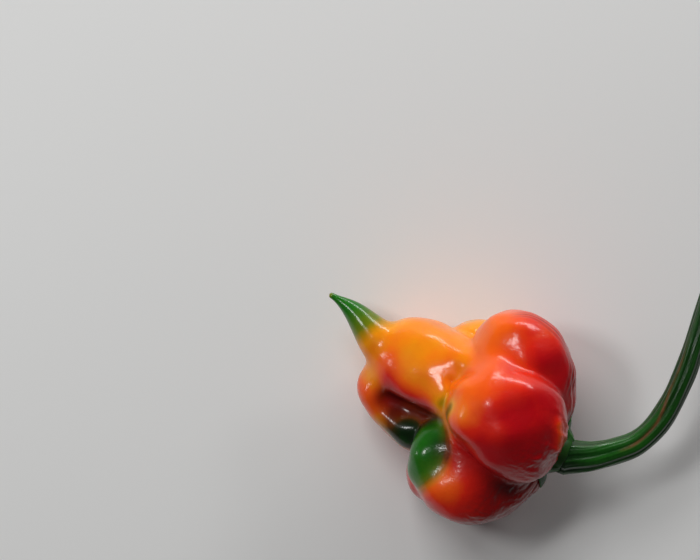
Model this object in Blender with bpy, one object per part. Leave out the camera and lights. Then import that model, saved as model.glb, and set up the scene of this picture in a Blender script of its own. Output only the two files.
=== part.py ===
"""A ripening trinidad scorpion pepper, lying on its side with its stinger tail to the left.

Three pieces: the lobed pod, the sepal cap on its shoulder and the curved stem.
The pod is one skin over swollen lobes. Each lobe is a short chain of balls blended into a bulb,
and the bulbs meet in creases. Shapes are worked out in the pod's own frame, in millimetres:
x runs from the sepal cap to the tail, z is up, and the frame is turned and lifted into place.
"""

import math

import bmesh
import bpy
import numpy as np
from mathutils import Matrix

# Driving dimensions, millimetres and degrees.
AXIS_TURN = 154.0
AXIS_HEIGHT = 17.1
SHOULDER_AT = (6.05, -8.97)
LOBE_RADIUS = 8.0
SQUARE = 2.8
NOSE_RADII = (9.4, 8.6, 9.8)
WANDER = 0.35
TAIL_START = (36.5, -3.0, -6.6)
TAIL_TIP = (51.8, -7.6, -5.0)
TAIL_RADIUS = 5.0
TAIL_TIP_RADIUS = 0.56
TAIL_BEND = 0.45
CALYX_RADIUS = 6.6
CALYX_TOP_RADIUS = 3.9
CALYX_TOOTH = 1.25
CALYX_GAP = 0.42
CALYX_EDGE = 0.75
HUB_RADIUS = 3.5
HUB_SPREAD = 5.2
HUB_RISE = 1.3
STEM_GAP = 0.3
STEM_BASE_RADIUS = 3.4
STEM_RADIUS = 2.1
STEM_END_RADIUS = 2.0
STEM_RIBS = 6
STEM_FROM_SHOULDER = (
    (0.75, -1.0, 0.0),
    (5.9, -1.0, 0.0),
    (11.0, 0.1, -0.1),
    (15.0, 1.7, -0.3),
    (18.6, 4.9, -0.5),
    (21.5, 9.3, -0.8),
    (23.8, 14.1, -1.1),
    (25.7, 19.1, -1.4),
    (27.8, 25.2, -1.7),
    (29.7, 31.4, -1.9),
)

POD_VOXEL = 0.62
POD_TRIANGLES = 8200
MM = 0.001


def clear_scene():
    for thing in list(bpy.data.objects):
        bpy.data.objects.remove(thing, do_unlink=True)


def ramp(value, start, end):
    """0 below start, 1 above end, and a smooth step between."""
    t = np.clip((value - start) / (end - start), 0.0, 1.0)
    return t * t * (3.0 - 2.0 * t)


def join(first, second, soft):
    """The nearer of two surfaces, with a fillet of about soft millimetres where they meet."""
    near = np.maximum(soft - np.abs(first - second), 0.0) / soft
    return np.minimum(first, second) - near * near * soft * 0.25


def section(side, up):
    """How far off a lobe's middle line, by a measure that makes its section a little square."""
    return (np.abs(side) ** SQUARE + np.abs(up) ** SQUARE + 1e-9) ** (1.0 / SQUARE)


def ball(points, centre, radius):
    x, y, z = (points - np.array(centre)).T
    return np.hypot(x, section(y, z)) - radius


def swelling(points, centre, radii):
    """Distance to a squarish ellipsoid, near enough for blending."""
    away = points - np.array(centre)
    radii = np.array(radii)
    x, y, z = (away / radii).T
    near = np.hypot(x, section(y, z))
    slope = np.linalg.norm(away / (radii * radii), axis=1)
    return near * (near - 1.0) / np.maximum(slope, 1e-9)


def taper(points, start, end, start_radius, end_radius):
    """Distance to a round bar that narrows from one end to the other."""
    start = np.array(start)
    along = np.array(end) - start
    t = np.clip((points - start) @ along / (along @ along), 0.0, 1.0)
    near = np.linalg.norm(points - start - t[:, None] * along, axis=1)
    return near - (start_radius + (end_radius - start_radius) * t)


def bulb(points, balls, soft):
    """A chain of balls, each (x, y, z, radius), grown together."""
    whole = None
    for x, y, z, radius in balls:
        one = ball(points, (x, y, z), radius)
        whole = one if whole is None else join(whole, one, soft)
    return whole


def lobes():
    """The five lobes, each a chain from the sepal cap outwards."""
    r = LOBE_RADIUS
    upper = [(6.6, -7.0, 1.4, 4.6), (11.5, -11.0, 2.8, r - 0.8), (16.2, -13.1, 2.6, r - 0.1)]
    top_end = [(7.0, -3.2, 8.6, 4.3), (5.9, 3.0, 7.2, 3.9), (9.4, 2.3, 7.4, 5.8)]
    top = [*top_end, (12.0, -3.3, 9.4, r - 0.1), (17.5, -0.6, 8.5, 6.3)]
    lower = [(6.2, 7.0, -1.9, 4.9), (11.8, 11.3, -2.2, r + 0.2), (16.0, 11.1, -2.4, r + 0.1)]
    foot = [(6.0, 5.0, -7.7, 5.5), (11.8, 6.6, -9.4, r - 0.2), (18.2, 14.5, -9.2, 6.1)]
    rear = [(6.0, -5.5, -7.0, 5.5), (12.0, -7.5, -9.6, r), (21.6, -9.9, -8.6, 6.5)]
    return upper, top, lower, foot, rear


def swellings_between():
    """Smaller chains: the keel under the nose, the lump where it ends and the green bump."""
    keel = [(35.2, 3.8, -8.6, 5.0), (31.2, 5.6, -9.3, 4.4), (28.4, 6.6, -9.0, 4.3), (25.6, 7.6, -8.0, 4.3)]
    keel_end = [(24.5, 4.4, -6.0, 5.0)]
    green_bump = [(22.2, 8.6, 1.4, 2.9), (22.4, 11.2, 1.3, 3.2), (20.8, 13.4, 0.0, 3.2)]
    return keel, keel_end, green_bump


def tail(points):
    """The stinger: a horn that thins smoothly along a slightly bent middle line."""
    start = np.array(TAIL_START)
    t = np.clip((points[:, 0] - start[0]) / (TAIL_TIP[0] - start[0]), 0.0, 1.0)
    middle = start + t[:, None] * (np.array(TAIL_TIP) - start)
    middle[:, 1] += TAIL_BEND * np.sin(2.0 * np.pi * t)
    radius = TAIL_TIP_RADIUS + (TAIL_RADIUS - TAIL_TIP_RADIUS) * (1.0 - t) ** (0.6 + 0.7 * t * t)
    return 0.93 * (np.linalg.norm(points - middle, axis=1) - radius)


def dent(points, start, end, depth, width):
    """How far the skin sinks along a line: depth on it, fading over about width."""
    return depth * np.exp(-((taper(points, start, end, 0.0, 0.0) / width) ** 2))


def pod_surface(points):
    """Signed distance to the pod's skin: below zero inside."""
    upper, top, lower, foot, rear = lobes()
    keel, keel_end, green_bump = swellings_between()
    x, y, z = points.T
    nose = swelling(points, (31.0, -3.3, -8.0), NOSE_RADII)
    neck = swelling(points, (23.2, -3.7, -3.0), (9.5, 8.1, 9.0))
    core = swelling(points, (12.5, -0.5, -1.5), (11.5, 11.5, 10.5))
    body = join(nose, neck, 4.0)
    body = join(body, bulb(points, keel, 5.0), 2.6)
    body = join(body, bulb(points, keel_end, 1.0), 2.5)
    valley = dent(points, (33.0, 5.6, -4.5), (22.5, 5.8, -2.0), 1.5, 2.5)
    body = join(body + valley, core, 3.0)
    body = join(body, bulb(points, upper, 7.0), 0.9 + 2.6 * ramp(y, -12.0, -7.5))
    body = join(body, bulb(points, rear, 8.0), 1.0)
    body = join(body, tail(points), 1.4)
    body = body + dent(points, (24.1, -2.9, 4.3), (23.1, 0.8, 3.5), 1.2, 1.5)
    body = join(body, join(bulb(points, lower, 8.0), bulb(points, green_bump, 3.0), 2.5), 1.6)
    body = join(body, bulb(points, foot, 8.0), 1.0)
    saddle = ramp(x, 13.0, 19.5) * ramp(-y, 3.0, 7.5)
    body = join(body, bulb(points, top, 6.0), 1.0 + 3.4 * saddle)
    wander = np.sin(0.52 * x + 1.3) * np.sin(0.61 * y + 0.4) * np.sin(0.49 * z + 2.1)
    return body + WANDER * wander * ramp(-x, -40.0, -30.0)


def slope(points, surface, step=0.04):
    found = np.zeros_like(points)
    for axis in range(3):
        shift = np.zeros(3)
        shift[axis] = step
        found[:, axis] = (surface(points + shift) - surface(points - shift)) / (2.0 * step)
    return found


def settle(points, surface, steps, most):
    """Moves points straight onto the surface, at most that far in each step."""
    for _ in range(steps):
        uphill = slope(points, surface)
        steep = np.maximum((uphill * uphill).sum(axis=1), 0.05)
        move = uphill * (surface(points) / steep)[:, None]
        length = np.maximum(np.linalg.norm(move, axis=1, keepdims=True), 1e-9)
        points = points - move * np.minimum(1.0, most / length)
    return points


def relax(mesh, surface, rounds, hold):
    """Evens out the mesh on the surface: each point goes part of the way to its neighbours' middle."""
    points = points_of(mesh)
    ends = np.empty(len(mesh.edges) * 2, dtype=np.int64)
    mesh.edges.foreach_get("vertices", ends)
    first = ends[0::2]
    second = ends[1::2]
    count = np.bincount(ends, minlength=len(points)).astype(float)[:, None]
    for _ in range(rounds):
        total = np.zeros_like(points)
        np.add.at(total, first, points[second])
        np.add.at(total, second, points[first])
        points = points * hold + total / count * (1.0 - hold)
        points = settle(points, surface, 1, 0.6)
    put_points(mesh, settle(points, surface, 2, 0.3))


def points_of(mesh):
    flat = np.empty(len(mesh.vertices) * 3)
    mesh.vertices.foreach_get("co", flat)
    return flat.reshape(-1, 3)


def put_points(mesh, points):
    mesh.vertices.foreach_set("co", points.astype(np.float32).ravel())
    mesh.update()


def new_object(name, mesh):
    thing = bpy.data.objects.new(name, mesh)
    bpy.context.scene.collection.objects.link(thing)
    return thing


def applied(mesh, kind, **settings):
    """The mesh as one modifier of that kind leaves it."""
    helper = new_object("helper", mesh)
    modifier = helper.modifiers.new(kind.title(), kind)
    for name, value in settings.items():
        setattr(modifier, name, value)
    bpy.context.view_layer.update()
    graph = bpy.context.evaluated_depsgraph_get()
    result = bpy.data.meshes.new_from_object(helper.evaluated_get(graph))
    bpy.data.objects.remove(helper, do_unlink=True)
    bpy.data.meshes.remove(mesh)
    return result


def rough_pod():
    """Plain balls and bars where the pod's bulbs are, a little larger than they are."""
    bm = bmesh.new()
    for chain in (*lobes(), *swellings_between()):
        for x, y, z, radius in chain:
            bmesh.ops.create_icosphere(
                bm, subdivisions=3, radius=radius + 0.8, matrix=Matrix.Translation((x, y, z))
            )
    for centre, radii in (
        ((31.0, -2.0, -8.0), (9.6, 9.0, 9.8)),
        ((22.0, -2.5, -2.0), (11.0, 10.5, 10.0)),
        ((12.0, -0.5, -1.5), (12.0, 12.0, 11.0)),
        ((39.0, -3.5, -6.3), (5.5, 4.6, 4.6)),
        ((42.5, -4.6, -6.0), (3.6, 3.8, 3.6)),
        ((45.2, -5.9, -5.7), (3.0, 3.0, 2.9)),
        ((47.5, -6.7, -5.4), (2.2, 2.2, 2.1)),
        ((49.6, -7.2, -5.2), (1.9, 1.5, 1.4)),
        ((51.4, -7.6, -5.0), (1.3, 1.1, 1.0)),
    ):
        place = Matrix.Translation(centre) @ Matrix.Diagonal((*radii, 1.0))
        bmesh.ops.create_icosphere(bm, subdivisions=3, radius=1.0, matrix=place)
    mesh = bpy.data.meshes.new("rough")
    bm.to_mesh(mesh)
    bm.free()
    return mesh


def place():
    """Millimetres in the pod's frame to metres in the row's frame."""
    turn = Matrix.Rotation(math.radians(AXIS_TURN), 4, "Z")
    shift = Matrix.Translation((SHOULDER_AT[0], SHOULDER_AT[1], AXIS_HEIGHT))
    return Matrix.Scale(MM, 4) @ shift @ turn


def pod_mesh():
    """The skin, settled twice with even faces between, thinned, and cut flat where it rests."""
    mesh = applied(rough_pod(), "REMESH", mode="VOXEL", voxel_size=POD_VOXEL)
    relax(mesh, pod_surface, 12, 0.5)
    mesh = applied(mesh, "REMESH", mode="VOXEL", voxel_size=POD_VOXEL)
    relax(mesh, pod_surface, 6, 0.6)
    triangles = 2.0 * len(mesh.polygons)
    mesh = applied(mesh, "DECIMATE", ratio=POD_TRIANGLES / triangles)
    put_points(mesh, settle(points_of(mesh), pod_surface, 2, 0.15))
    mesh.transform(place())
    bm = bmesh.new()
    bm.from_mesh(mesh)
    everything = bm.verts[:] + bm.edges[:] + bm.faces[:]
    bmesh.ops.bisect_plane(
        bm, geom=everything, dist=1e-7, plane_co=(0, 0, 0), plane_no=(0, 0, -1), clear_outer=True
    )
    rims = [edge for edge in bm.edges if edge.is_boundary]
    bmesh.ops.holes_fill(bm, edges=rims, sides=0)
    bmesh.ops.triangulate(bm, faces=bm.faces[:])
    bmesh.ops.recalc_face_normals(bm, faces=bm.faces[:])
    bm.to_mesh(mesh)
    bm.free()
    mesh.name = "pod"
    return mesh


def shoulder(across, up, reach):
    """Where a line along x at this place meets the pod's skin, reach millimetres outside it."""
    points = np.stack([np.full_like(across, -9.0), across, up], axis=1)
    for _ in range(60):
        points[:, 0] += 0.7 * np.clip(pod_surface(points) - reach, -0.5, 4.0)
    return points[:, 0]


def sepal_edge(angle):
    """The outline of the sepal cap: short teeth, and none on top, where a lobe hangs over it."""
    teeth = CALYX_TOOTH * np.abs(np.cos(3.0 * angle)) ** 5 + 0.15 * np.cos(11.0 * angle + 2.0)
    from_top = np.abs(np.angle(np.exp(1j * (angle - 0.5 * np.pi))))
    free = ramp(from_top, 0.75, 1.35)
    return CALYX_TOP_RADIUS + (CALYX_RADIUS + teeth - CALYX_TOP_RADIUS) * free


def calyx_shape(unit):
    """A round ball's points, moved to the cap: its front half outside, its back half on the pod."""
    angle = np.arctan2(unit[:, 2], unit[:, 1])
    spread = np.sqrt(unit[:, 1] ** 2 + unit[:, 2] ** 2)
    part = np.arcsin(np.clip(spread, 0.0, 1.0)) / (0.5 * np.pi)
    radius = part * sepal_edge(angle)
    across = radius * np.cos(angle)
    up = radius * np.sin(angle)
    under = np.minimum(shoulder(across, up, CALYX_GAP), 1.9)
    hub = ramp(-radius, -HUB_SPREAD, -HUB_RADIUS)
    edge = CALYX_EDGE * (1.0 - 0.55 * ramp(part, 0.7, 1.0))
    outside = under - edge
    outside = outside * (1.0 - hub) + (-HUB_RISE) * hub
    x = np.where(unit[:, 0] < -1e-4, outside, np.where(unit[:, 0] > 1e-4, under, under - 0.5 * edge))
    return np.stack([x, across, up], axis=1)


def calyx_mesh():
    bm = bmesh.new()
    turn = Matrix.Rotation(math.radians(90.0), 4, "Y")
    bmesh.ops.create_uvsphere(bm, u_segments=36, v_segments=20, radius=1.0, matrix=turn)
    mesh = bpy.data.meshes.new("calyx")
    bm.to_mesh(mesh)
    bm.free()
    put_points(mesh, calyx_shape(points_of(mesh)))
    mesh.transform(place())
    return mesh


def stem_path(t):
    """Middle line of the stem in the row's frame, from the hub (t = 0) to the cut end (t = 1)."""
    knots = np.array(STEM_FROM_SHOULDER) + np.array([SHOULDER_AT[0], SHOULDER_AT[1], AXIS_HEIGHT])
    place_on = np.clip(t, 0.0, 1.0) * (len(knots) - 1)
    first = np.clip(np.floor(place_on).astype(int), 0, len(knots) - 2)
    f = (place_on - first)[:, None]
    before = knots[np.maximum(first - 1, 0)]
    a = knots[first]
    b = knots[first + 1]
    after = knots[np.minimum(first + 2, len(knots) - 1)]
    return 0.5 * (
        2.0 * a
        + (b - before) * f
        + (2.0 * before - 5.0 * a + 4.0 * b - after) * f**2
        + (3.0 * a - before - 3.0 * b + after) * f**3
    )


def stem_radius(t):
    flare = (STEM_BASE_RADIUS - STEM_RADIUS) * np.exp(-t * 7.0)
    return STEM_RADIUS + flare + (STEM_END_RADIUS - STEM_RADIUS) * ramp(t, 0.3, 0.8)


def stem_shape(unit, rings):
    """A round ball's points, moved to a ribbed bar: one pole at the hub, the other at the cut."""
    ring = np.rint(np.arccos(np.clip(-unit[:, 2], -1.0, 1.0)) / math.pi * rings)
    angle = np.arctan2(unit[:, 1], unit[:, 0])
    t = np.clip((ring - 2.0) / (rings - 4.0), 0.0, 1.0)
    size = stem_radius(t) * (1.0 + 0.05 * np.cos(STEM_RIBS * angle + 2.0 * t))
    from_end = np.minimum(ring, rings - ring)
    size = size * np.select([from_end == 0, from_end == 1], [0.0, 0.93], 1.0)
    lift = np.select([ring <= 1, ring >= rings - 1], [-0.12, 0.12], 0.0)
    middle = stem_path(t)
    ahead = stem_path(np.minimum(t + 0.01, 1.0)) - stem_path(np.maximum(t - 0.01, 0.0))
    ahead = ahead / np.linalg.norm(ahead, axis=1, keepdims=True)
    side = np.cross(np.array([0.0, 0.0, 1.0]), ahead)
    side = side / np.linalg.norm(side, axis=1, keepdims=True)
    above = np.cross(ahead, side)
    round_it = side * np.cos(angle)[:, None] + above * np.sin(angle)[:, None]
    points = middle + ahead * lift[:, None] + round_it * size[:, None]
    # The base is cut along the hub's flat front, with the gap that keeps two pieces apart.
    outward = np.array([-math.cos(math.radians(AXIS_TURN)), -math.sin(math.radians(AXIS_TURN)), 0.0])
    centre = np.array([SHOULDER_AT[0], SHOULDER_AT[1], AXIS_HEIGHT])
    short = HUB_RISE + STEM_GAP - (points - centre) @ outward
    move = np.where(ring <= 2, short, np.maximum(short, 0.0))
    return points + move[:, None] * outward


def stem_mesh():
    rings = 34
    bm = bmesh.new()
    bmesh.ops.create_uvsphere(bm, u_segments=18, v_segments=rings, radius=1.0)
    mesh = bpy.data.meshes.new("stem")
    bm.to_mesh(mesh)
    bm.free()
    put_points(mesh, stem_shape(points_of(mesh), rings))
    mesh.transform(Matrix.Scale(MM, 4))
    return mesh


def paint(thing, name, colour, roughness, coat):
    material = bpy.data.materials.new(name)
    material.use_nodes = True
    shader = material.node_tree.nodes["Principled BSDF"]
    shader.inputs["Base Color"].default_value = (*colour, 1.0)
    shader.inputs["Roughness"].default_value = roughness
    shader.inputs["Metallic"].default_value = 0.0
    shader.inputs["Coat Weight"].default_value = coat
    material.diffuse_color = (*colour, 1.0)
    thing.data.materials.clear()
    thing.data.materials.append(material)
    thing.data.shade_smooth()


def main():
    clear_scene()
    bpy.context.scene.unit_settings.system = "METRIC"
    bpy.context.scene.unit_settings.scale_length = 1.0
    paint(new_object("pod", pod_mesh()), "pod_skin", (0.62, 0.05, 0.012), 0.28, 0.5)
    paint(new_object("calyx", calyx_mesh()), "sepal_green", (0.06, 0.2, 0.03), 0.45, 0.1)
    paint(new_object("stem", stem_mesh()), "stem_green", (0.05, 0.22, 0.035), 0.4, 0.15)


main()
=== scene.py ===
"""A ripening trinidad scorpion pepper on a pale floor: lobed pod, sepal cap, stem and a stage."""

import math

import bmesh
import bpy
import numpy as np
from bpy.props import FloatProperty, FloatVectorProperty, IntProperty, PointerProperty
from mathutils import Matrix, Vector, noise


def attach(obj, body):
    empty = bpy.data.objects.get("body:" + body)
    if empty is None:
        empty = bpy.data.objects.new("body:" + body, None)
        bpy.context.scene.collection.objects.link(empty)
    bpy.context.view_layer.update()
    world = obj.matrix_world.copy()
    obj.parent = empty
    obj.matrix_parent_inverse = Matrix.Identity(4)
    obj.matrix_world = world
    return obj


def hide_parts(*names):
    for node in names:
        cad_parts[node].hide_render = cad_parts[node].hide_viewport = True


bl_info = {
    "name": "Scorpion Pepper",
    "version": (1, 0, 0),
    "blender": (4, 5, 0),
    "location": "View3D > Sidebar > Pepper",
    "description": "Builds a ripening scorpion pepper with its sepal cap, stem and stage",
    "category": "Add Mesh",
}

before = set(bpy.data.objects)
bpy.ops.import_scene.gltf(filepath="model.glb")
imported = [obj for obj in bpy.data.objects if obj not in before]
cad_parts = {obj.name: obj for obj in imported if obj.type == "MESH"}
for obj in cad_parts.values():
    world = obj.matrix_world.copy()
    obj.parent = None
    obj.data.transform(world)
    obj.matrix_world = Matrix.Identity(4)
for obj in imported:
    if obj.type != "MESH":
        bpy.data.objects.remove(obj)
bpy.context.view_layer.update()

# The pod's own frame is in millimetres: x runs from the sepal cap to the tail, and z is up.
MM = 0.001
AXIS_TURN = math.radians(154.0)
SHOULDER = (6.05, -8.97, 17.1)

# The camera looks straight down. Its picture's middle lies this many millimetres right of and above
# the shoulder, and at the shoulder's height the picture is this many metres wide.
PICTURE_FROM_SHOULDER = (-39.71, 32.52)
PICTURE_WIDTH = 0.133

# Each lobe is a chain of balls, (x, y, z, radius), from the sepal cap outwards.
LOBES = {
    "upper": [(6.6, -7.0, 1.4, 4.6), (11.5, -11.0, 2.8, 7.2), (16.2, -13.1, 2.6, 7.9)],
    "top": [
        (7.0, -3.2, 8.6, 4.3),
        (5.9, 3.0, 7.2, 3.9),
        (9.4, 2.3, 7.4, 5.8),
        (12.0, -3.3, 9.4, 7.9),
        (17.5, -0.6, 8.5, 6.3),
    ],
    "lower": [(6.2, 7.0, -1.9, 4.9), (11.8, 11.3, -2.2, 8.2), (16.0, 11.1, -2.4, 8.1)],
    "foot": [(6.0, 5.0, -7.7, 5.5), (11.8, 6.6, -9.4, 7.8), (18.2, 14.5, -9.2, 6.1)],
    "rear": [(6.0, -5.5, -7.0, 5.5), (12.0, -7.5, -9.6, 8.0), (21.6, -9.9, -8.6, 6.5)],
}
KEEL = [(35.2, 3.8, -8.6, 5.0), (31.2, 5.6, -9.3, 4.4), (28.4, 6.6, -9.0, 4.3), (25.6, 7.6, -8.0, 4.3)]
KEEL_END = (24.5, 4.4, -6.0, 5.0)
GREEN_BUMP = [(22.2, 8.6, 1.4, 2.9), (22.4, 11.2, 1.3, 3.2), (20.8, 13.4, 0.0, 3.2)]

# The nose, the neck behind it and the core that the lobes grow from: centre and radii.
NOSE = ((31.0, -3.3, -8.0), (9.4, 8.6, 9.8))
NECK = ((23.2, -3.7, -3.0), (9.5, 8.1, 9.0))
CORE = ((12.5, -0.5, -1.5), (11.5, 11.5, 10.5))

# How square the sections are, where 2 is round, and how uneven the lobes are, in millimetres.
SQUARE = 2.8
UNEVEN = 0.35

# How softly the balls of each chain grow together, and how softly each form grows into the rest.
CHAIN_SOFT = {
    "upper": 7.0,
    "top": 6.0,
    "lower": 8.0,
    "foot": 8.0,
    "rear": 8.0,
    "keel": 5.0,
    "bump": 3.0,
}
FILLET = {
    "neck": 4.0,
    "keel": 2.6,
    "keel_end": 2.5,
    "core": 3.0,
    "upper": 0.9,
    "rear": 1.0,
    "tail": 1.4,
    "bump": 2.5,
    "lower": 1.6,
    "foot": 1.0,
    "top": 1.0,
}

TAIL_START = (36.5, -3.0, -6.6)
TAIL_TIP = (51.8, -7.6, -5.0)
TAIL_RADIUS = 5.0
TAIL_TIP_RADIUS = 0.56
TAIL_BEND = 0.45

# The rough pod has a larger ball for each ball above, and these swellings for the rest. Its faces
# are this large while its shape is settled.
FIRST_VOXEL = 0.62
ROUGH_EXTRA = 0.8
ROUGH_SWELLINGS = (
    ((31.0, -2.0, -8.0), (9.6, 9.0, 9.8)),
    ((22.0, -2.5, -2.0), (11.0, 10.5, 10.0)),
    ((12.0, -0.5, -1.5), (12.0, 12.0, 11.0)),
    ((39.0, -3.5, -6.3), (5.5, 4.6, 4.6)),
    ((42.5, -4.6, -6.0), (3.6, 3.8, 3.6)),
    ((45.2, -5.9, -5.7), (3.0, 3.0, 2.9)),
    ((47.5, -6.7, -5.4), (2.2, 2.2, 2.1)),
    ((49.6, -7.2, -5.2), (1.9, 1.5, 1.4)),
    ((51.4, -7.6, -5.0), (1.3, 1.1, 1.0)),
)

# The valley between nose and keel and the pit between nose and top lobe are dents along a line.
VALLEY = ((33.0, 5.6, -4.5), (22.5, 5.8, -2.0))
VALLEY_DEPTH = 1.5
VALLEY_WIDTH = 2.5
PIT = ((24.1, -2.9, 4.3), (23.1, 0.8, 3.5))
PIT_DEPTH = 1.2
PIT_WIDTH = 1.5

# Small forms of the skin: a line has two ends, a spot one place, and a crease a height and a strength.
PIT_FLOOR = (23.6, -2.4, 5.6)
END_RIDGE = ((4.2, -4.6, 14.6), (2.1, -1.0, 13.0))
END_NOTCH = (1.6, 1.9, 10.4)
CREASES = ((5.0, 0.14), (6.3, 0.2), (7.3, 0.22), (8.2, 0.12))
FOLDS_ROUND_CAP = 26.0
FINE_FOLDS_ROUND_CAP = 57.0

# How deep each small form lies in millimetres. Below zero it stands out.
DEPTH = {
    "dimples": 0.05,
    "fine_dimples": 0.015,
    "wrinkles": 0.18,
    "folds": 0.08,
    "fine_folds": 0.04,
    "creases": 0.55,
    "end_ridge": -0.6,
    "end_notch": 0.5,
    "pit": -0.5,
    "pit_floor": -1.0,
}

# Where the skin is slack, where its colour changes, and where shade is painted into its colour.
SLACK_END = (4.5, 3.2, 13.0)
LOW_RIM = ((20.5, 6.4, 5.6), (6.0, 7.0, 9.5))
NOSE_FLUSH = (36.4, -0.6, -0.4)
NECK_FLUSH = (26.5, -4.5, 5.0)
VALLEY_BANK = ((34.6, 2.2, -1.0), (27.0, 2.9, 2.2))
VALLEY_RED = ((32.6, 5.2, -3.0), (23.5, 5.6, 0.5))
VALLEY_SHADE = ((33.0, 5.0, -3.0), (23.5, 5.8, 0.5))
KEEL_TIP = (36.6, 4.9, -3.8)
KEEL_EDGE = ((32.5, 9.4, -6.0), (27.5, 11.5, -5.0))
KEEL_GREEN = (26.6, 9.6, -3.2)
KEEL_SHADE = ((29.6, 9.2, -3.8), (26.0, 10.0, -3.0))
PIT_OLIVE = (24.0, 1.2, 5.4)
TONGUE = ((20.0, 1.6, 15.0), (14.6, 1.3, 17.2))
LEFT_RIM = ((23.2, 1.2, 11.2), (21.2, 5.9, 5.3))
RIM_SHADE = ((23.6, 1.4, 10.4), (21.6, 6.0, 4.8))
TOP_SHADE = (9.0, 4.0, 15.5)
LOWER_ORANGE = (17.4, 14.8, 6.6)
LOWER_SHADE = ((20.5, 8.4, 5.5), (6.0, 9.6, 6.0))

# How ripe the skin is where each colour is purest. The mottle moves it up and down by this much.
RIPE = {
    "green": 0.0,
    "turning": 0.14,
    "olive": 0.27,
    "amber": 0.42,
    "orange": 0.6,
    "red": 0.82,
    "crimson": 1.0,
}
MOTTLE = 0.08

# The sepal cap hugs the pod and rises to a flat hub, which the stem stands on.
CAP_SEGMENTS = 180
CAP_RINGS = 90
CAP_TEETH = 6
CAP_ABOVE_POD = 0.12
CAP_DEEPEST = 1.9
CAP_RIM_STARTS = 0.965
HUB_RADIUS = 3.5
HUB_SPREAD = 5.2
HUB_RISE = 1.3

# The stem's middle line in the scene's frame, in millimetres from the shoulder.
STEM_FROM_SHOULDER = (
    (0.75, -1.0, 0.0),
    (5.9, -1.0, 0.0),
    (11.0, 0.1, -0.1),
    (15.0, 1.7, -0.3),
    (18.6, 4.9, -0.5),
    (21.5, 9.3, -0.8),
    (23.8, 14.1, -1.1),
    (25.7, 19.1, -1.4),
    (27.8, 25.2, -1.7),
    (29.7, 31.4, -1.9),
)
STEM_SEGMENTS = 96
STEM_RINGS = 240
STEM_IN_HUB = 0.1

# How the stem's last rings close each end, counted from its pole: their share of the full radius, and
# how many millimetres some of them bulge outwards. The last few at the far end are the pale cut.
END_CLOSING = (0, 0.35, 0.65, 0.86, 0.95, 0.99, 1.0)
END_RINGS = len(END_CLOSING) - 1
BULGE_RINGS = (0, 3, 4, 5, 6)
BULGE = (0.02, 0.1, 0.07, 0.02, 0.0)
CUT_RINGS = 4

# The sunned streak runs from the stem's top to its inner side: shares of its length, and angles.
SUNNED_ALONG = (0.22, 0.45, 0.6, 0.9)
SUNNED_ANGLE = (1.55, 1.3, 0.75, 0.65)

# Each light's turn about Z and height in degrees, how many metres away it is, and its width and
# height in metres.
LIGHTS = {
    "strip": (82.0, 9.5, 0.5, (0.46, 0.05)),
    "strip_end": (56.0, 17.0, 0.5, (0.13, 0.08)),
    "window": (157.0, 56.0, 0.45, (0.075, 0.065)),
    "side": (171.0, 14.0, 0.45, (0.09, 0.05)),
    "softbox": (118.0, 50.0, 1.0, (0.5, 0.4)),
}
LIGHT_TARGET = (-0.008, 0.0, 0.02)
FLOOR_HALF = 1.5


# Curves and blends


def ramp(value, start, end):
    """0 before start, 1 past end, and a smooth step between."""
    t = np.clip((value - start) / (end - start), 0.0, 1.0)
    return t * t * (3.0 - 2.0 * t)


def bell(value, middle, width):
    """1 at the middle and near 0 past twice the width."""
    return np.exp(-(((value - middle) / width) ** 2))


def join(first, second, soft):
    """The nearer of two surfaces, with a fillet of about soft where they meet."""
    near = np.maximum(soft - np.abs(first - second), 0.0) / soft
    return np.minimum(first, second) - near * near * soft * 0.25


def section(side, up):
    """How far off a lobe's middle line, by a measure that makes its section a little square."""
    return (np.abs(side) ** SQUARE + np.abs(up) ** SQUARE + 1e-9) ** (1.0 / SQUARE)


def ball(points, centre, radius):
    x, y, z = (points - np.array(centre)).T
    return np.hypot(x, section(y, z)) - radius


def swelling(points, centre, radii):
    """Distance to a squarish ellipsoid, near enough for blending."""
    away = points - np.array(centre)
    radii = np.array(radii)
    x, y, z = (away / radii).T
    near = np.hypot(x, section(y, z))
    steep = np.linalg.norm(away / (radii * radii), axis=1)
    return near * (near - 1.0) / np.maximum(steep, 1e-9)


def from_line(points, start, end):
    """Distance to the straight line between two places."""
    start = np.array(start)
    along = np.array(end) - start
    t = np.clip((points - start) @ along / (along @ along), 0.0, 1.0)
    return np.linalg.norm(points - start - t[:, None] * along, axis=1)


def bulb(points, balls, soft):
    """A chain of balls, each (x, y, z, radius), grown together."""
    whole = None
    for x, y, z, radius in balls:
        one = ball(points, (x, y, z), radius)
        whole = one if whole is None else join(whole, one, soft)
    return whole


def streak(points, start, end, width):
    """1 on a line and fading to 0 over about width."""
    return bell(from_line(points, start, end), 0.0, width)


def patch(points, centre, reach):
    """1 at a place and fading to 0 over about reach."""
    return bell(np.linalg.norm(points - np.array(centre), axis=1), 0.0, reach)


def grain(points, size, seed):
    """Smooth noise between about -1 and 1 whose grains are size millimetres."""
    shift = Vector((seed * 7.3, seed * 3.1, seed * 5.7))
    return np.array([noise.noise(Vector(point) / size + shift) for point in points])


def between(first, second, share):
    """The colour that lies that share of the way from the first to the second."""
    return [(1.0 - share) * a + share * b for a, b in zip(first, second)]


# The pod's shape


def lobe(points, name):
    return bulb(points, LOBES[name], CHAIN_SOFT[name])


def green_bump(points):
    """The small green swelling between the keel and the lower lobe."""
    return bulb(points, GREEN_BUMP, CHAIN_SOFT["bump"])


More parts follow.
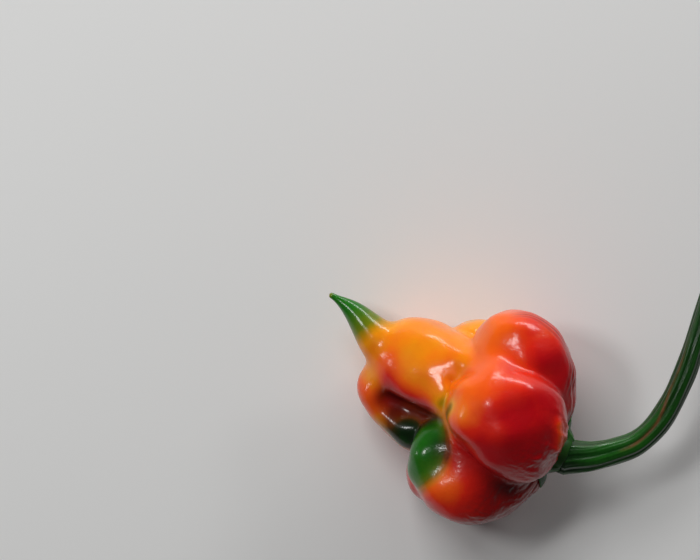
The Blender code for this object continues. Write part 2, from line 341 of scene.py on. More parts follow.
def tail(points):
    """The stinger: a horn that thins smoothly along a slightly bent middle line."""
    start = np.array(TAIL_START)
    t = np.clip((points[:, 0] - start[0]) / (TAIL_TIP[0] - start[0]), 0.0, 1.0)
    middle = start + t[:, None] * (np.array(TAIL_TIP) - start)
    middle[:, 1] += TAIL_BEND * np.sin(2.0 * np.pi * t)
    radius = TAIL_TIP_RADIUS + (TAIL_RADIUS - TAIL_TIP_RADIUS) * (1.0 - t) ** (0.6 + 0.7 * t * t)

    # The horn's sides slope, so it is a little nearer than its middle line says.
    return 0.93 * (np.linalg.norm(points - middle, axis=1) - radius)


def nose(points):
    """The tail half of the pod: its nose, the neck behind it and the keel below."""
    body = join(swelling(points, *NOSE), swelling(points, *NECK), FILLET["neck"])
    body = join(body, bulb(points, KEEL, CHAIN_SOFT["keel"]), FILLET["keel"])
    body = join(body, ball(points, KEEL_END[:3], KEEL_END[3]), FILLET["keel_end"])
    return body + VALLEY_DEPTH * streak(points, *VALLEY, VALLEY_WIDTH)


def pod_surface(points, wander=UNEVEN):
    """Signed distance to the pod's skin: below zero inside."""
    x, y, z = points.T

    # The fillets widen where the upper lobe nears the core and where the top lobe nears the neck.
    near_core = ramp(y, -12.0, -7.5)
    by_neck = ramp(x, 13.0, 19.5) * ramp(-y, 3.0, 7.5)
    body = join(nose(points), swelling(points, *CORE), FILLET["core"])
    body = join(body, lobe(points, "upper"), FILLET["upper"] + 2.6 * near_core)
    body = join(body, lobe(points, "rear"), FILLET["rear"])
    body = join(body, tail(points), FILLET["tail"])
    body = body + PIT_DEPTH * streak(points, *PIT, PIT_WIDTH)
    lower = join(lobe(points, "lower"), green_bump(points), FILLET["bump"])
    body = join(body, lower, FILLET["lower"])
    body = join(body, lobe(points, "foot"), FILLET["foot"])
    body = join(body, lobe(points, "top"), FILLET["top"] + 3.4 * by_neck)
    uneven = np.sin(0.52 * x + 1.3) * np.sin(0.61 * y + 0.4) * np.sin(0.49 * z + 2.1)
    return body + wander * uneven * ramp(-x, -40.0, -30.0)


def slope(points, surface, step=0.04):
    """Which way is straight off the surface, and how steeply the distance grows that way."""
    found = np.zeros_like(points)
    for axis in range(3):
        shift = np.zeros(3)
        shift[axis] = step
        found[:, axis] = (surface(points + shift) - surface(points - shift)) / (2.0 * step)
    return found


def settle(points, surface, steps, most):
    """Moves points straight onto the surface, at most that far in each step."""
    for _ in range(steps):
        uphill = slope(points, surface)
        steep = np.maximum((uphill * uphill).sum(axis=1), 0.05)
        move = uphill * (surface(points) / steep)[:, None]
        length = np.maximum(np.linalg.norm(move, axis=1, keepdims=True), 1e-9)
        points = points - move * np.minimum(1.0, most / length)
    return points


# Mesh helpers


def points_of(mesh):
    flat = np.empty(len(mesh.vertices) * 3)
    mesh.vertices.foreach_get("co", flat)
    return flat.reshape(-1, 3)


def put_points(mesh, points):
    mesh.vertices.foreach_set("co", points.astype(np.float32).ravel())
    mesh.update()


def normals_of(mesh):
    flat = np.empty(len(mesh.vertices) * 3)
    mesh.vertices.foreach_get("normal", flat)
    return flat.reshape(-1, 3)


def put_values(mesh, name, values):
    layer = mesh.attributes.new(name, "FLOAT", "POINT")
    layer.data.foreach_set("value", np.asarray(values, dtype=np.float32))


def relax(mesh, surface, rounds, hold):
    """Evens out a mesh on the surface: each point moves towards the middle of its neighbours."""
    points = points_of(mesh)
    ends = np.empty(len(mesh.edges) * 2, dtype=np.int64)
    mesh.edges.foreach_get("vertices", ends)
    first = ends[0::2]
    second = ends[1::2]
    count = np.bincount(ends, minlength=len(points)).astype(float)[:, None]
    for _ in range(rounds):
        total = np.stack(
            [
                np.bincount(first, points[second, axis], len(points))
                + np.bincount(second, points[first, axis], len(points))
                for axis in range(3)
            ],
            axis=1,
        )
        points = points * hold + total / count * (1.0 - hold)
        points = settle(points, surface, 1, 0.6)
    put_points(mesh, settle(points, surface, 2, 0.3))


def remeshed(mesh, voxel):
    """The mesh with even faces of that size, as the Remesh modifier makes them."""
    helper = bpy.data.objects.new("remesh_helper", mesh)
    bpy.context.scene.collection.objects.link(helper)
    modifier = helper.modifiers.new("Even faces", "REMESH")
    modifier.mode = "VOXEL"
    modifier.voxel_size = voxel
    bpy.context.view_layer.update()
    graph = bpy.context.evaluated_depsgraph_get()
    result = bpy.data.meshes.new_from_object(helper.evaluated_get(graph))
    bpy.data.objects.remove(helper, do_unlink=True)
    bpy.data.meshes.remove(mesh)
    return result


def mesh_from(bm, name):
    mesh = bpy.data.meshes.new(name)
    bm.to_mesh(mesh)
    bm.free()
    return mesh


def in_place():
    """Millimetres in the pod's frame to metres in the scene's frame."""
    return Matrix.Scale(MM, 4) @ Matrix.Translation(SHOULDER) @ Matrix.Rotation(AXIS_TURN, 4, "Z")


def add_piece(mesh, name, node, material):
    mesh.name = name
    mesh.shade_smooth()
    mesh.materials.clear()
    mesh.materials.append(material)
    piece = bpy.data.objects.new(name, mesh)
    bpy.context.scene.collection.objects.link(piece)
    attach(piece, "root")
    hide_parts(node)
    return piece


# Node helpers


class Nodes:
    """A short way to add and link the nodes of one material."""

    def __init__(self, name):
        self.material = bpy.data.materials.new(name)
        self.material.use_nodes = True
        self.tree = self.material.node_tree
        self.shader = self.tree.nodes["Principled BSDF"]

    def add(self, kind, inputs=(), **settings):
        node = self.tree.nodes.new(kind)
        for name, value in settings.items():
            setattr(node, name, value)
        for name, value in dict(inputs).items():
            self.put(node, name, value)
        return node

    def put(self, node, name, value):
        if isinstance(value, bpy.types.NodeSocket):
            self.tree.links.new(value, node.inputs[name])
        else:
            node.inputs[name].default_value = value

    def value_of(self, attribute):
        return self.add("ShaderNodeAttribute", attribute_name=attribute).outputs["Fac"]

    def maths(self, operation, first, second=0.0, third=0.0, clamp=False):
        node = self.add("ShaderNodeMath", operation=operation, use_clamp=clamp)
        for index, value in enumerate((first, second, third)):
            self.put(node, index, value)
        return node.outputs[0]

    def noise(self, size, detail, rough, warp=0.0):
        """Noise on Object coordinates whose grains are about size metres."""
        place = self.add("ShaderNodeTexCoord").outputs["Object"]
        inputs = {
            "Vector": place,
            "Scale": 1.0 / size,
            "Detail": detail,
            "Roughness": rough,
            "Distortion": warp,
        }
        return self.add("ShaderNodeTexNoise", inputs).outputs["Fac"]

    def ramp(self, value, stops):
        node = self.add("ShaderNodeValToRGB", {"Fac": value})
        elements = node.color_ramp.elements
        while len(elements) < len(stops):
            elements.new(0.5)
        for element, (place, colour) in zip(elements, stops):
            element.position = place
            element.color = (*colour, 1.0)
        return node.outputs["Color"]

    def mix(self, factor, first, second, blend="MIX"):
        node = self.add("ShaderNodeMix", data_type="RGBA", blend_type=blend)
        self.put(node, 0, factor)
        for index, value in ((6, first), (7, second)):
            is_socket = isinstance(value, bpy.types.NodeSocket)
            self.put(node, index, value if is_socket else (*value, 1.0))
        return node.outputs[2]

    def bump(self, height, strength, distance, under=None):
        inputs = {"Height": height, "Strength": strength, "Distance": distance}
        if under is not None:
            inputs["Normal"] = under
        return self.add("ShaderNodeBump", inputs).outputs["Normal"]

    def shade(self, **values):
        for name, value in values.items():
            self.put(self.shader, name.replace("_", " "), value)


# The rough pod and the relief of its skin


def rough_pod():
    """Plain balls where the pod's bulbs are, a little larger than they are."""
    bm = bmesh.new()
    for chain in (*LOBES.values(), KEEL, [KEEL_END], GREEN_BUMP):
        for x, y, z, radius in chain:
            place = Matrix.Translation((x, y, z))
            size = radius + ROUGH_EXTRA
            bmesh.ops.create_icosphere(bm, subdivisions=3, radius=size, matrix=place)
    for centre, radii in ROUGH_SWELLINGS:
        place = Matrix.Translation(centre) @ Matrix.Diagonal((*radii, 1.0))
        bmesh.ops.create_icosphere(bm, subdivisions=3, radius=1.0, matrix=place)
    return mesh_from(bm, "rough_pod")


def drawn_in(points):
    """Folds where the lobes are drawn in at the sepal cap, in millimetres of depth."""
    x, y, z = points.T
    angle = np.arctan2(z, y)
    bend = 0.35 * np.sin(3.0 * angle + 0.3 * x) + 0.2 * np.sin(0.9 * x + 1.7 * np.sin(0.5 * y))
    folds = np.cos(FOLDS_ROUND_CAP * (angle + 0.12 * bend) + 1.4 * bend)
    fine = np.cos(FINE_FOLDS_ROUND_CAP * (angle + 0.05 * bend) + 2.3 * bend)
    return ramp(-x, -8.0, -2.5) * (DEPTH["folds"] * folds + DEPTH["fine_folds"] * fine)


def shoulder_creases(points, own):
    """How strong the thin creases are that run round the far side of the upper lobe."""
    x, y, z = points.T
    wave = 0.3 * np.sin(0.55 * x + 0.8) + 0.15 * np.sin(0.9 * y)
    strength = sum(strong * bell(z, height + wave, 0.3) for height, strong in CREASES)
    outer = ramp(-x - 0.4 * y, -13.5, -8.5) * ramp(-y, 9.0, 12.5)
    return strength * outer * own["upper"]


def slackness(points):
    """1 where the skin is crumpled: at the top lobe's stem end and low rim, and on the lower lobe."""
    x, y, _ = points.T
    top_end = 1.3 * patch(points, SLACK_END, 4.8)
    far_side = ramp(-x, -14.5, -8.0) * ramp(y, 6.0, 10.0)
    low_rim = 0.55 * streak(points, *LOW_RIM, 2.2)
    return np.clip(np.maximum(np.maximum(top_end, far_side), low_rim), 0.0, 1.0)


def relief(points, own):
    """How deep the skin lies in millimetres: dimples, wrinkles, folds, creases and small forms."""
    dimples = DEPTH["dimples"] * grain(points, 4.2, 1.0)
    dimples = dimples + DEPTH["fine_dimples"] * grain(points, 1.7, 2.0)
    along = points * np.array([0.65, 1.2, 1.2])
    wrinkles = np.abs(grain(along, 1.3, 3.0)) + 0.6 * np.abs(grain(along, 0.75, 4.0))
    not_tail = ramp(-points[:, 0], -44.0, -38.0)
    whole = not_tail * (dimples + DEPTH["wrinkles"] * slackness(points) * wrinkles)
    whole = whole + drawn_in(points) + DEPTH["creases"] * shoulder_creases(points, own)
    whole = whole + DEPTH["end_ridge"] * streak(points, *END_RIDGE, 1.4)
    whole = whole + DEPTH["end_notch"] * patch(points, END_NOTCH, 1.8)
    whole = whole + DEPTH["pit"] * streak(points, *PIT, PIT_WIDTH)
    return whole + DEPTH["pit_floor"] * patch(points, PIT_FLOOR, 2.0)


# Colours of the pod's skin


def ownership(points):
    """How much each bulb owns each point of the skin: shares of 1, which fade out along the tail."""
    away = {name: lobe(points, name) for name in LOBES}
    away["nose"] = nose(points)
    near = {name: np.exp(-np.maximum(far, 0.0) / 0.7) for name, far in away.items()}
    total = sum(near.values()) + 1e-6
    return {name: part / total for name, part in near.items()}


def greenness(points, own):
    """How green the bump between the keel and the lower lobe is, and how green the keel's end."""
    bump = 1.0 - ramp(green_bump(points), -0.3, 3.6)
    keel_end = np.clip(1.2 * patch(points, KEEL_GREEN, 3.2), 0.0, 1.0)
    return np.maximum(bump, keel_end) * (1.0 - own["top"])


def nose_ripeness(points):
    """Amber on top, flushed towards the tail, and redder down into the valley and on the keel."""
    flush = 0.18 * patch(points, NOSE_FLUSH, 3.0) + 0.10 * patch(points, NECK_FLUSH, 4.2)
    valley = 0.38 * streak(points, *VALLEY_BANK, 2.2) + 0.3 * streak(points, *VALLEY_RED, 2.8)
    keel = 0.2 * ramp(points[:, 1], 2.5, 6.5) - 0.06 * patch(points, KEEL_TIP, 2.5)
    return 0.47 + flush + valley + keel


def upper_ripeness(points):
    """Orange by the nose, then coral, and crimson towards the stem and down its right side."""
    x = points[:, 0]

    # The points turned as the camera sees them: right and up from the shoulder.
    right, up, _ = (points @ np.array(Matrix.Rotation(AXIS_TURN, 3, "Z")).T).T
    right_side = ramp(right, -8.4, -4.2) * ramp(-up, -23.0, -17.5)
    red = np.maximum(right_side, ramp(-x, -12.5, -5.5))
    return 0.58 + 0.21 * ramp(-x, -23.0, -15.0) + 0.21 * red


def top_ripeness(points):
    """Olive at its left rim, then orange and coral, and red across its lower half."""
    x, y, _ = points.T
    red = ramp(-0.775 * (x - 19.3) + 0.633 * y, -1.8, 3.4)
    paler = 0.15 * streak(points, *TONGUE, 2.2) + 0.3 * streak(points, *END_RIDGE, 1.3)
    paler = paler + 0.3 * streak(points, *LEFT_RIM, 1.6)
    return 0.6 + 0.2 * ramp(-x, -22.0, -15.5) + 0.2 * red - paler


def ripeness(points, own):
    """How ripe the skin is, on the scale that RIPE gives."""
    x, y, _ = points.T
    ripe = {
        "nose": nose_ripeness(points),
        "upper": upper_ripeness(points),
        "top": top_ripeness(points),
        "lower": 0.94 - 0.3 * patch(points, LOWER_ORANGE, 4.6),
        "foot": 0.86,
        "rear": 0.42 + 0.5 * ramp(-x, -19.0, -9.0),
    }
    value = sum(own[name] * ripe[name] for name in ripe)
    value = value - 0.18 * patch(points, PIT_OLIVE, 2.0)
    value = value * (1.0 - 0.55 * streak(points, *KEEL_EDGE, 2.0))
    green = greenness(points, own)
    tail_green = ramp(x - 0.5 * (y + 4.5), 38.0, 52.0)
    tail_end = 0.35 * ramp(x, 51.2, 52.2)
    value = value * (1.0 - green) * (1.0 - tail_green) + tail_end
    return np.clip(value - MOTTLE * np.maximum(green, tail_green), -MOTTLE, 1.0)


def dusk(points, own):
    """Painted shade and brownish skin, from 0 clear to 1 darkest: painted shade in the valley, at the
    keel's end, under the top lobe, on the lower and foot lobes, on the top lobe's end and rim and in the
    shoulder creases; real brown where green meets red, and a darker green on the bump.
    """
    green = greenness(points, own)
    # Painted shade in the valley below the nose and at the keel's end.
    keel = own["nose"] * streak(points, *VALLEY_SHADE, 2.8) + streak(points, *KEEL_SHADE, 3.8)
    # Painted shade under the top lobe and towards the lower lobe's far end.
    lower = 0.65 * streak(points, *LOWER_SHADE, 2.8) + 0.5 * ramp(-points[:, 0], -14.5, -7.5)
    # Painted shade on the top lobe's end.
    top = 0.25 * patch(points, TOP_SHADE, 5.0)
    # Painted shade along the top lobe's left rim.
    left_rim = 0.55 * own["top"] * streak(points, *RIM_SHADE, 1.3)
    # Real brown where green meets red, and a darker green on the bump.
    bump = 0.25 * green * (1.0 - own["nose"]) + 0.5 * bell(green, 0.42, 0.24)
    # Painted shade over the whole foot lobe.
    whole = keel + own["lower"] * lower + top + left_rim + bump + 0.3 * own["foot"]
    # Painted shade in the shoulder creases.
    return np.clip(whole + 3.0 * shoulder_creases(points, own), 0.0, 1.0)


# Pod


class PepperPod(bpy.types.PropertyGroup):
    voxel: FloatProperty(
        name="Face size",
        description="Edge of the skin's faces",
        default=0.0003,
        unit="LENGTH",
    )
    uneven: FloatProperty(
        name="Unevenness",
        description="Height of the lobes' soft unevenness",
        default=UNEVEN * MM,
        unit="LENGTH",
    )
    green: FloatVectorProperty(
        name="Green",
        description="Unripe skin",
        default=(0.010, 0.15, 0.003),
        subtype="COLOR",
    )
    olive: FloatVectorProperty(
        name="Olive",
        description="Skin that begins to turn",
        default=(0.17, 0.20, 0.001),
        subtype="COLOR",
    )
    amber: FloatVectorProperty(
        name="Amber",
        description="Skin halfway to ripe",
        default=(0.88, 0.30, 0.001),
        subtype="COLOR",
    )
    orange: FloatVectorProperty(
        name="Orange",
        description="Nearly ripe skin",
        default=(0.90, 0.12, 0.003),
        subtype="COLOR",
    )
    red: FloatVectorProperty(
        name="Red",
        description="Ripe skin",
        default=(0.72, 0.016, 0.004),
        subtype="COLOR",
    )
    crimson: FloatVectorProperty(
        name="Crimson",
        description="Fully ripe skin",
        default=(0.50, 0.001, 0.005),
        subtype="COLOR",
    )
    # Colour left where the painted shade and brown are darkest.
    dusk: FloatVectorProperty(
        name="Dusk",
        description="Share of a colour that is left where it is darkest",
        default=(0.15, 0.09, 0.16),
        subtype="COLOR",
    )


class PEPPER_OT_pod(bpy.types.Operator):
    """Grow the lobed pod with its nose and stinger tail"""

    bl_idname = "pepper.pod"
    bl_label = "Pod"

    def execute(self, context):
        props = context.scene.pepper_pod
        wander = props.uneven / MM

        def surface(points):
            return pod_surface(points, wander)

        mesh = remeshed(rough_pod(), FIRST_VOXEL)
        relax(mesh, surface, rounds=12, hold=0.5)
        mesh = remeshed(mesh, props.voxel / MM)
        relax(mesh, surface, rounds=3, hold=0.6)
        points = points_of(mesh)
        own = ownership(points)
        put_values(mesh, "ripe", ripeness(points, own))
        # The painted shade and brown are stored in an attribute of their own.
        put_values(mesh, "dusk", dusk(points, own))
        put_values(mesh, "slack", slackness(points))
        put_points(mesh, points - normals_of(mesh) * relief(points, own)[:, None])
        mesh.transform(in_place())
        points = points_of(mesh)
        points[:, 2] = np.maximum(points[:, 2], 0.0)
        put_points(mesh, points)
        add_piece(mesh, "pod_skin", "pod", self.skin(props))
        return {"FINISHED"}

    def skin(self, props):
        """Waxy skin under a soft gloss, with its colour from the ripe values and from the painted shade
        and brown.
        """
        nodes = Nodes("pod_skin")
        mottle = nodes.noise(size=0.0045, detail=4.0, rough=0.55, warp=0.4)
        ripe = nodes.maths("MULTIPLY_ADD", mottle, 2.0 * MOTTLE, -MOTTLE)
        ripe = nodes.maths("ADD", nodes.value_of("ripe"), ripe, clamp=True)
        colours = {name: getattr(props, name) for name in RIPE if name != "turning"}
        colours["turning"] = between(props.green, props.olive, 0.35)
        colour = nodes.ramp(ripe, [(RIPE[name], colours[name]) for name in RIPE])
        # Painted shade and brown skin: the colour darkens by the share that attribute gives.
        darker = nodes.mix(1.0, colour, props.dusk, "MULTIPLY")
        colour = nodes.mix(nodes.value_of("dusk"), colour, darker)
        fine = nodes.noise(size=0.0009, detail=2.0, rough=0.5)
        broad = nodes.noise(size=0.0022, detail=3.0, rough=0.6, warp=0.8)
        crumple = nodes.maths("MULTIPLY_ADD", nodes.value_of("slack"), 0.6, 0.12)
        normal = nodes.bump(broad, strength=0.15, distance=0.0004)
        normal = nodes.bump(fine, strength=crumple, distance=0.0002, under=normal)
        rough = nodes.maths("MULTIPLY_ADD", mottle, 0.16, 0.3)
        nodes.shade(
            Base_Color=colour,
            Roughness=rough,
            Normal=normal,
            Specular_IOR_Level=0.15,
            Coat_Weight=0.7,
            Coat_Roughness=0.17,
            Coat_IOR=1.45,
            Coat_Normal=normal,
            Subsurface_Weight=0.1,
            Subsurface_Radius=(1.0, 0.25, 0.08),
            Subsurface_Scale=0.0012,
        )
        return nodes.material


# Sepal cap


def shoulder(across, up, reach):
    """Where a line along x at this place meets the pod's skin, reach millimetres outside it."""
    points = np.stack([np.full_like(across, -9.0), across, up], axis=1)
    for _ in range(50):
        points[:, 0] += 0.7 * np.clip(pod_surface(points) - reach, -0.5, 4.0)
    return points[:, 0]


class PepperCalyx(bpy.types.PropertyGroup):
    radius: FloatProperty(
        name="Radius",
        description="Radius of the sepal cap",
        default=0.0066,
        unit="LENGTH",
    )
    top_radius: FloatProperty(
        name="Top radius",
        description="How far the cap reaches on top, where a lobe hangs over it",
        default=0.0039,
        unit="LENGTH",
    )
    tooth: FloatProperty(
        name="Teeth",
        description="Length of the sepal cap's six teeth",
        default=0.00125,
        unit="LENGTH",
    )
    edge: FloatProperty(
        name="Thickness",
        description="Thickness of the sepals",
        default=0.0007,
        unit="LENGTH",
    )
    green: FloatVectorProperty(
        name="Green",
        description="Sepals between their ribs",
        default=(0.007, 0.075, 0.005),
        subtype="COLOR",
    )
    rib: FloatVectorProperty(
        name="Rib",
        description="Ribs and rim",
        default=(0.04, 0.17, 0.02),
        subtype="COLOR",
    )


class PEPPER_OT_calyx(bpy.types.Operator):
    """Lay the toothed sepal cap on the pod's shoulder"""

    bl_idname = "pepper.calyx"
    bl_label = "Sepal cap"

    def execute(self, context):
        props = context.scene.pepper_calyx
        bm = bmesh.new()
        turn = Matrix.Rotation(math.radians(90.0), 4, "Y")
        bmesh.ops.create_uvsphere(
            bm, u_segments=CAP_SEGMENTS, v_segments=CAP_RINGS, radius=1.0, matrix=turn
        )
        mesh = mesh_from(bm, "sepal_cap")
        unit = points_of(mesh)
        angle = np.arctan2(unit[:, 2], unit[:, 1])
        spread = np.sqrt(unit[:, 1] ** 2 + unit[:, 2] ** 2)
        part = np.arcsin(np.clip(spread, 0.0, 1.0)) / (0.5 * np.pi)

        # The outline has six teeth and a ragged edge, and is drawn in on top.
        teeth = props.tooth / MM * np.abs(np.cos(0.5 * CAP_TEETH * angle)) ** 5
        teeth = teeth + 0.15 * np.cos(11.0 * angle + 2.0)
        teeth = teeth + 0.08 * np.cos(23.0 * angle + 1.0) + 0.05 * np.cos(41.0 * angle)
        from_top = np.abs(np.angle(np.exp(1j * (angle - 0.5 * np.pi))))
        free = ramp(from_top, 0.75, 1.35)
        short = props.top_radius / MM
        radius = part * (short + (props.radius / MM + teeth - short) * free)
        across = radius * np.cos(angle)
        up = radius * np.sin(angle)

        # The underside hugs the pod, and the outside has ribs and the hub.
        under = np.minimum(shoulder(across, up, CAP_ABOVE_POD), CAP_DEEPEST)
        hub = ramp(-radius, -HUB_SPREAD, -HUB_RADIUS)
        thick = props.edge / MM * (1.0 - 0.6 * ramp(part, 0.72, 1.0))
        rib = bell(np.sin(0.5 * CAP_TEETH * angle + 1.57), 0.0, 0.2)
        rib = rib + 0.4 * bell(np.sin(5.5 * angle + 1.0), 0.0, 0.3)
        rib = rib * ramp(radius, 2.5, 4.0) * ramp(-part, -1.0, -0.75)
        outside = (under - thick) * (1.0 - hub) - HUB_RISE * hub - 0.22 * rib
        side = unit[:, 0]
        x = np.select([side < -1e-4, side > 1e-4], [outside, under], under - 0.5 * thick)
        put_points(mesh, np.stack([x, across, up], axis=1))
        put_values(mesh, "rib", np.clip(rib, 0.0, 1.0))
        put_values(mesh, "part", part)
        mesh.transform(in_place())
        add_piece(mesh, "sepal_cap", "calyx", self.leaf(props))
        return {"FINISHED"}

    def leaf(self, props):
        """Dull green, with paler ribs and rim."""
        nodes = Nodes("sepal")
        mottle = nodes.noise(size=0.0016, detail=4.0, rough=0.6, warp=0.5)
        edge = nodes.maths("GREATER_THAN", nodes.value_of("part"), CAP_RIM_STARTS)
        pale = nodes.maths("MULTIPLY_ADD", edge, 0.6, nodes.value_of("rib"), clamp=True)
        colour = nodes.mix(pale, props.green, props.rib)
        darker = nodes.maths("MULTIPLY_ADD", mottle, 0.8, 0.55)
        shade = nodes.add("ShaderNodeHueSaturation", {"Color": colour, "Value": darker})
        nodes.shade(
            Base_Color=shade.outputs[0],
            Roughness=0.42,
            Normal=nodes.bump(mottle, strength=0.35, distance=0.0002),
            Specular_IOR_Level=0.35,
        )
        return nodes.material


# Stem


def stem_path(t):
    """The stem's middle line in millimetres of the scene's frame: t is 0 at the hub and 1 at the cut."""
    knots = np.array(STEM_FROM_SHOULDER) + np.array(SHOULDER)
    place_on = np.clip(t, 0.0, 1.0) * (len(knots) - 1)
    first = np.clip(np.floor(place_on).astype(int), 0, len(knots) - 2)
    f = (place_on - first)[:, None]
    before = knots[np.maximum(first - 1, 0)]
    a = knots[first]
    b = knots[first + 1]
    after = knots[np.minimum(first + 2, len(knots) - 1)]
    return 0.5 * (
        2.0 * a
        + (b - before) * f
        + (2.0 * before - 5.0 * a + 4.0 * b - after) * f**2
        + (3.0 * a - before - 3.0 * b + after) * f**3
    )


def square_to(t):
    """Along the stem, across it to its inner side, and up, each one unit long."""
    ahead = stem_path(np.minimum(t + 0.01, 1.0)) - stem_path(np.maximum(t - 0.01, 0.0))
    ahead = ahead / np.linalg.norm(ahead, axis=1, keepdims=True)
    side = np.cross(np.array([0.0, 0.0, 1.0]), ahead)
    side = side / np.linalg.norm(side, axis=1, keepdims=True)
    return ahead, side, np.cross(ahead, side)


class PepperStem(bpy.types.PropertyGroup):
    radius: FloatProperty(
        name="Radius",
        description="Radius of the stem past its flare",
        default=0.0021,
        unit="LENGTH",
    )
    flare: FloatProperty(
        name="Flare",
        description="Extra radius at the sepal cap",
        default=0.0013,
        unit="LENGTH",
    )
    ribs: IntProperty(
        name="Ribs",
        description="Ridges along the stem",
        default=6,
        subtype="UNSIGNED",
    )
    green: FloatVectorProperty(
        name="Green",
        description="Skin of the stem",
        default=(0.003, 0.048, 0.002),
        subtype="COLOR",
    )
    ridge: FloatVectorProperty(
        name="Ridge",
        description="Raised ridges",
        default=(0.010, 0.10, 0.005),
        subtype="COLOR",
    )
    streak: FloatVectorProperty(
        name="Streak",
        description="Sunned brownish streak",
        default=(0.13, 0.045, 0.016),
        subtype="COLOR",
    )
    cut: FloatVectorProperty(
        name="Cut",
        description="Cut end",
        default=(0.35, 0.38, 0.18),
        subtype="COLOR",
    )


class PEPPER_OT_stem(bpy.types.Operator):
    """Bend the ridged stem out of the sepal cap"""

    bl_idname = "pepper.stem"
    bl_label = "Stem"

    def execute(self, context):
        props = context.scene.pepper_stem
        bm = bmesh.new()
        bmesh.ops.create_uvsphere(bm, u_segments=STEM_SEGMENTS, v_segments=STEM_RINGS, radius=1.0)
        mesh = mesh_from(bm, "stem_skin")
        unit = points_of(mesh)
        ring = np.rint(np.arccos(np.clip(-unit[:, 2], -1.0, 1.0)) / math.pi * STEM_RINGS)
        angle = np.arctan2(unit[:, 1], unit[:, 0])
        t = np.clip((ring - END_RINGS) / (STEM_RINGS - 2.0 * END_RINGS), 0.0, 1.0)

        # The radius has the flare, three sizes of ribs and slight swellings along the stem.
        size = props.radius / MM + props.flare / MM * np.exp(-t * 7.0) - 0.1 * ramp(t, 0.3, 0.8)
        twist = angle + 0.5 * t + 0.15 * np.sin(5.0 * t + 1.0)
        ribs = 0.055 * np.cos(props.ribs * twist) + 0.02 * np.cos(13.0 * twist + 4.0 * t)
        ribs = ribs + 0.012 * np.cos(29.0 * twist + 9.0 * np.sin(4.0 * t))
        size = size * (1.0 + ribs)
        size = size * (1.0 + 0.02 * np.sin(31.0 * t + 2.0 * np.sin(2.0 * angle)))
        close = np.minimum(ring, STEM_RINGS - ring)
        size = size * np.interp(close, range(END_RINGS + 1), END_CLOSING)
        bulge = np.interp(close, BULGE_RINGS, BULGE)
        bulge = np.where(ring < STEM_RINGS / 2, -bulge, bulge)
        ahead, side, above = square_to(t)
        round_it = side * np.cos(angle)[:, None] + above * np.sin(angle)[:, None]
        points = stem_path(t) + ahead * bulge[:, None] + round_it * size[:, None]

        # The base is cut along the hub's flat front and stands a little way in it.
        outward = np.array([-math.cos(AXIS_TURN), -math.sin(AXIS_TURN), 0.0])
        short = HUB_RISE - STEM_IN_HUB - (points - np.array(SHOULDER)) @ outward
        move = np.where(ring <= END_RINGS, short, np.maximum(short, 0.0))
        put_points(mesh, points + move[:, None] * outward)

        sunned = bell(angle, np.interp(t, SUNNED_ALONG, SUNNED_ANGLE), 0.13)
        put_values(mesh, "rib", np.clip(0.5 + 8.0 * ribs, 0.0, 1.0))
        # Painted shade: the stem darkens towards its cut end.
        put_values(mesh, "far", 0.6 * ramp(t, 0.25, 0.6))
        put_values(mesh, "streak", sunned * ramp(t, 0.2, 0.32) * ramp(-t, -0.85, -0.6))
        put_values(mesh, "cut", (STEM_RINGS - ring < CUT_RINGS).astype(float))
        mesh.transform(Matrix.Scale(MM, 4))
        add_piece(mesh, "stem_skin", "stem", self.bark(props))
        return {"FINISHED"}

    def bark(self, props):
        """Ridged green with shade painted in towards the cut end, a brown streak and a pale cut."""
        nodes = Nodes("stem")
        fine = nodes.noise(size=0.0007, detail=4.0, rough=0.6)
        broad = nodes.noise(size=0.005, detail=3.0, rough=0.6, warp=0.6)
        colour = nodes.mix(nodes.value_of("rib"), props.green, props.ridge)
        # Painted shade towards the cut end: the green darkened to 0.3 of itself.
        painted_shade_green = between((0.0, 0.0, 0.0), props.green, 0.3)
        colour = nodes.mix(nodes.value_of("far"), colour, painted_shade_green)
        brown = nodes.maths("MULTIPLY", nodes.value_of("streak"), broad)
        brown = nodes.maths("MULTIPLY", brown, 1.6, clamp=True)
        colour = nodes.mix(brown, colour, props.streak)
        colour = nodes.mix(nodes.value_of("cut"), colour, props.cut)
        shade = nodes.maths("MULTIPLY_ADD", fine, 0.9, 0.5)
        varied = nodes.add("ShaderNodeHueSaturation", {"Color": colour, "Value": shade})
        nodes.shade(
            Base_Color=varied.outputs[0],
            Roughness=0.34,
            Normal=nodes.bump(fine, strength=0.5, distance=0.00015),
            Specular_IOR_Level=0.35,
            Coat_Weight=0.2,
            Coat_Roughness=0.15,
        )
        return nodes.material


# Stage


class PepperStage(bpy.types.PropertyGroup):
    floor: FloatVectorProperty(
        name="Floor",
        description="Colour of the floor",
        default=(0.78, 0.78, 0.77),
        subtype="COLOR",
    )
    sky: FloatVectorProperty(
        name="Sky",
        description="Colour of the faint light from all round",
        default=(0.95, 0.97, 1.0),
        subtype="COLOR",
    )
    sky_strength: FloatProperty(
        name="Sky strength",
        description="Strength of the faint light from all round",
        default=0.06,
    )
    strip: FloatProperty(
        name="Strip light",
        description="Long, low light behind the pepper",
        default=1.3,
        unit="POWER",
    )
    strip_end: FloatProperty(
        name="Strip light's end",
        description="Smaller light at the strip's right end",
        default=0.39,
        unit="POWER",
    )
    window: FloatProperty(
        name="Window",
        description="Bright light from the tail's side",
        default=0.42,
        unit="POWER",
    )
    side: FloatProperty(
        name="Side light",
        description="Small, low light past the tail",
        default=0.15,
        unit="POWER",
    )
    softbox: FloatProperty(
        name="Softbox",
        description="Broad light that leaves no reflection",
        default=3.8,
        unit="POWER",
    )
    lens: FloatProperty(
        name="Lens",
        description="Focal length in millimetres",
        default=100.0,
        unit="CAMERA",
    )


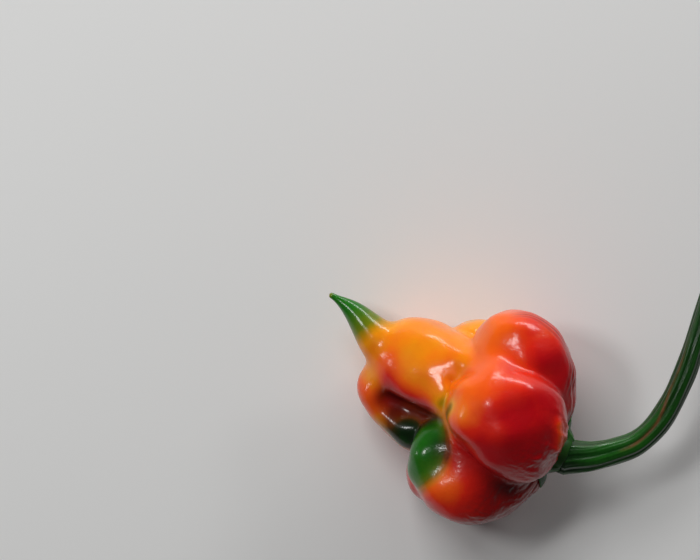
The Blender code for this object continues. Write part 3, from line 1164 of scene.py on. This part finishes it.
def aimed_light(name, power):
    """An area light that shines on the pepper from where LIGHTS puts it."""
    turn, height, away, size = LIGHTS[name]
    turn = math.radians(turn)
    height = math.radians(height)
    level = math.cos(height)
    toward = Vector((math.cos(turn) * level, math.sin(turn) * level, math.sin(height)))
    light = bpy.data.lights.new(name, "AREA")
    light.shape = "RECTANGLE"
    light.size, light.size_y = size
    light.energy = power
    lamp = bpy.data.objects.new(name, light)
    lamp.location = Vector(LIGHT_TARGET) + toward * away
    lamp.rotation_euler = (-toward).to_track_quat("-Z", "Y").to_euler()
    bpy.context.scene.collection.objects.link(lamp)
    return lamp


class PEPPER_OT_stage(bpy.types.Operator):
    """Set the floor, the lights and the camera"""

    bl_idname = "pepper.stage"
    bl_label = "Stage"

    def execute(self, context):
        props = context.scene.pepper_stage
        scene = context.scene
        self.add_floor(scene, props)
        for name in LIGHTS:
            lamp = aimed_light(name, getattr(props, name))
            lamp.visible_glossy = name != "softbox"
        world = bpy.data.worlds.new("studio")
        world.use_nodes = True
        background = world.node_tree.nodes["Background"]
        background.inputs["Color"].default_value = (*props.sky, 1.0)
        background.inputs["Strength"].default_value = props.sky_strength
        scene.world = world
        scene.view_settings.view_transform = "Standard"
        self.add_camera(scene, props)
        return {"FINISHED"}

    def add_floor(self, scene, props):
        bm = bmesh.new()
        bmesh.ops.create_grid(bm, x_segments=1, y_segments=1, size=FLOOR_HALF)
        floor = bpy.data.objects.new("floor", mesh_from(bm, "floor"))
        scene.collection.objects.link(floor)
        nodes = Nodes("floor")
        nodes.shade(Base_Color=(*props.floor, 1.0), Roughness=0.9, Specular_IOR_Level=0.2)
        floor.data.materials.append(nodes.material)

    def add_camera(self, scene, props):
        camera = bpy.data.cameras.new("camera")
        camera.lens = props.lens
        camera.sensor_width = 36.0
        camera.sensor_fit = "HORIZONTAL"
        camera.clip_start = 0.01
        camera.clip_end = 20.0
        view = bpy.data.objects.new("camera", camera)
        right, up = PICTURE_FROM_SHOULDER
        away = PICTURE_WIDTH / MM / camera.sensor_width * camera.lens
        view.location = Vector((SHOULDER[0] + right, SHOULDER[1] + up, SHOULDER[2] + away)) * MM
        scene.collection.objects.link(view)
        scene.camera = view


# Panel and registration


class VIEW3D_PT_pepper(bpy.types.Panel):
    """Sizes, colours and builders of the pepper"""

    bl_label = "Scorpion Pepper"
    bl_space_type = "VIEW_3D"
    bl_region_type = "UI"
    bl_category = "Pepper"

    def draw(self, context):
        for group, operator in OPERATORS.items():
            box = self.layout.box()
            box.operator(operator.bl_idname)
            props = getattr(context.scene, group)
            for name in props.bl_rna.properties.keys():
                if name not in {"rna_type", "name"}:
                    box.prop(props, name)


GROUPS = {
    "pepper_pod": PepperPod,
    "pepper_calyx": PepperCalyx,
    "pepper_stem": PepperStem,
    "pepper_stage": PepperStage,
}
OPERATORS = {
    "pepper_pod": PEPPER_OT_pod,
    "pepper_calyx": PEPPER_OT_calyx,
    "pepper_stem": PEPPER_OT_stem,
    "pepper_stage": PEPPER_OT_stage,
}
CLASSES = (*GROUPS.values(), *OPERATORS.values(), VIEW3D_PT_pepper)


def register():
    for one in CLASSES:
        bpy.utils.register_class(one)
    for name, group in GROUPS.items():
        setattr(bpy.types.Scene, name, PointerProperty(type=group))


def unregister():
    for name in GROUPS:
        delattr(bpy.types.Scene, name)
    for one in reversed(CLASSES):
        bpy.utils.unregister_class(one)


def main():
    register()
    bpy.ops.pepper.pod()
    bpy.ops.pepper.calyx()
    bpy.ops.pepper.stem()
    bpy.ops.pepper.stage()
    bpy.context.view_layer.update()


if __name__ == "__main__":
    main()
